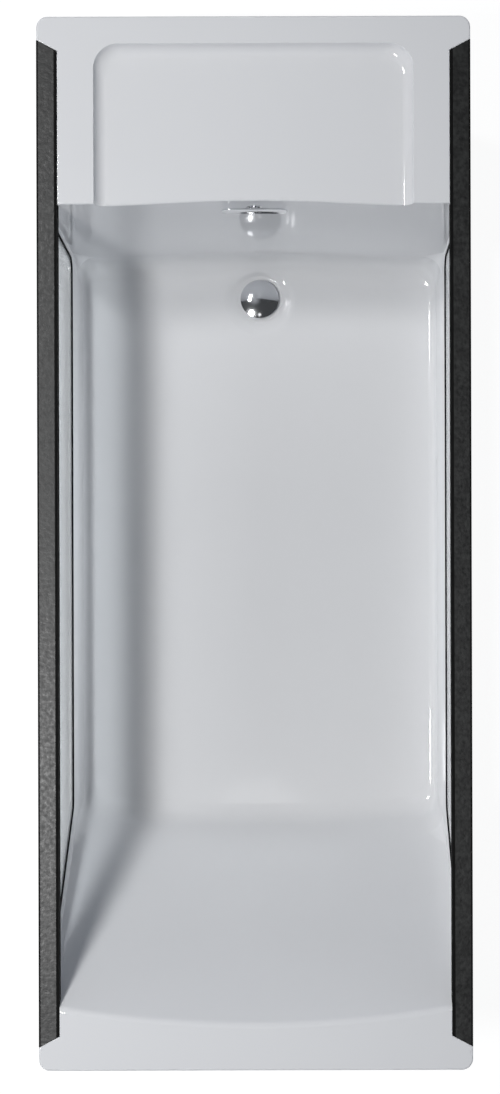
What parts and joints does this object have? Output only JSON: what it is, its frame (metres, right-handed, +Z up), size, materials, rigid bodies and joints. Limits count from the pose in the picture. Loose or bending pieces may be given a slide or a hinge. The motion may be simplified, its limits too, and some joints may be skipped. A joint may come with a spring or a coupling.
{
  "type": "bathtub",
  "caption": "White rectangular bath with a glass window in each long side, dark mitred rim bars, recessed seat ledge, sloped backrest, push plug, overflow and levelling feet.",
  "frame": {"origin": "on the floor, under the middle of the bath's outline", "axes": "+Z up, +Y to the seat and drain end, +X across the bath to the right when looking along +Y"},
  "size_m": [0.7, 1.7, 0.58],
  "materials": {
    "shell_white": "gloss white acrylic",
    "panel_white": "satin white acrylic panel",
    "window_glass": "clear toughened glass",
    "black_rubber": "matt black seal",
    "slate": "dark mottled slate",
    "chrome": "polished chrome",
    "brass": "turned brass",
    "zinc_steel": "zinc-plated steel",
    "particle_board": "raw board",
    "grey_plastic": "moulded grey plastic",
    "white_plastic": "moulded white plastic",
    "pad_plastic": "black foot pad"
  },
  "bodies": {
    "root": {"tub_shell": "shell_white", "glass_pane_left": "window_glass", "glass_pane_right": "window_glass", "glass_seal_left": "black_rubber", "glass_seal_right": "black_rubber", "rim_bar_left": "slate", "rim_bar_right": "slate", "rim_gasket_left": "black_rubber", "rim_gasket_right": "black_rubber", "side_panel_left": "panel_white", "side_panel_right": "panel_white", "end_panel_head": "panel_white", "end_panel_foot": "panel_white", "base_board": "particle_board", "frame_rail_left": "zinc_steel", "frame_rail_right": "zinc_steel", "cross_member_foot": "zinc_steel", "cross_member_middle": "zinc_steel", "cross_member_head": "zinc_steel", "corner_post_left_head": "zinc_steel", "corner_post_left_foot": "zinc_steel", "corner_post_right_head": "zinc_steel", "corner_post_right_foot": "zinc_steel", "panel_rail_left": "zinc_steel", "panel_rail_right": "zinc_steel", "lock_nut_left_head": "zinc_steel", "lock_nut_left_middle": "zinc_steel", "lock_nut_left_foot": "zinc_steel", "lock_nut_right_head": "zinc_steel", "lock_nut_right_middle": "zinc_steel", "lock_nut_right_foot": "zinc_steel", "waste_flange": "chrome", "waste_gasket_top": "black_rubber", "waste_gasket_bottom": "black_rubber", "waste_body": "grey_plastic", "click_cartridge": "brass", "trap_nut": "white_plastic", "trap_cup": "white_plastic", "trap_outlet": "white_plastic", "overflow_cover": "chrome", "overflow_gasket": "black_rubber", "overflow_elbow": "grey_plastic", "overflow_hose": "white_plastic"},
    "plug": {"plug_dome": "chrome", "plug_stem": "brass", "plug_seal": "black_rubber"},
    "foot_left_head": {"foot_stud_left_head": "zinc_steel", "foot_pad_left_head": "pad_plastic"},
    "foot_left_middle": {"foot_stud_left_middle": "zinc_steel", "foot_pad_left_middle": "pad_plastic"},
    "foot_left_foot": {"foot_stud_left_foot": "zinc_steel", "foot_pad_left_foot": "pad_plastic"},
    "foot_right_head": {"foot_stud_right_head": "zinc_steel", "foot_pad_right_head": "pad_plastic"},
    "foot_right_middle": {"foot_stud_right_middle": "zinc_steel", "foot_pad_right_middle": "pad_plastic"},
    "foot_right_foot": {"foot_stud_right_foot": "zinc_steel", "foot_pad_right_foot": "pad_plastic"}
  },
  "joints": [
    {"name": "plug_slide", "type": "slide", "parent": "root", "child": "plug", "axis": [0, 0, 1], "range_m": [0, 0.01]},
    {"name": "foot_left_head_level", "type": "slide", "parent": "root", "child": "foot_left_head", "axis": [0, 0, 1], "range_m": [-0.015, 0.02]},
    {"name": "foot_left_middle_level", "type": "slide", "parent": "root", "child": "foot_left_middle", "axis": [0, 0, 1], "range_m": [-0.015, 0.02]},
    {"name": "foot_left_foot_level", "type": "slide", "parent": "root", "child": "foot_left_foot", "axis": [0, 0, 1], "range_m": [-0.015, 0.02]},
    {"name": "foot_right_head_level", "type": "slide", "parent": "root", "child": "foot_right_head", "axis": [0, 0, 1], "range_m": [-0.015, 0.02]},
    {"name": "foot_right_middle_level", "type": "slide", "parent": "root", "child": "foot_right_middle", "axis": [0, 0, 1], "range_m": [-0.015, 0.02]},
    {"name": "foot_right_foot_level", "type": "slide", "parent": "root", "child": "foot_right_foot", "axis": [0, 0, 1], "range_m": [-0.015, 0.02]}
  ]
}
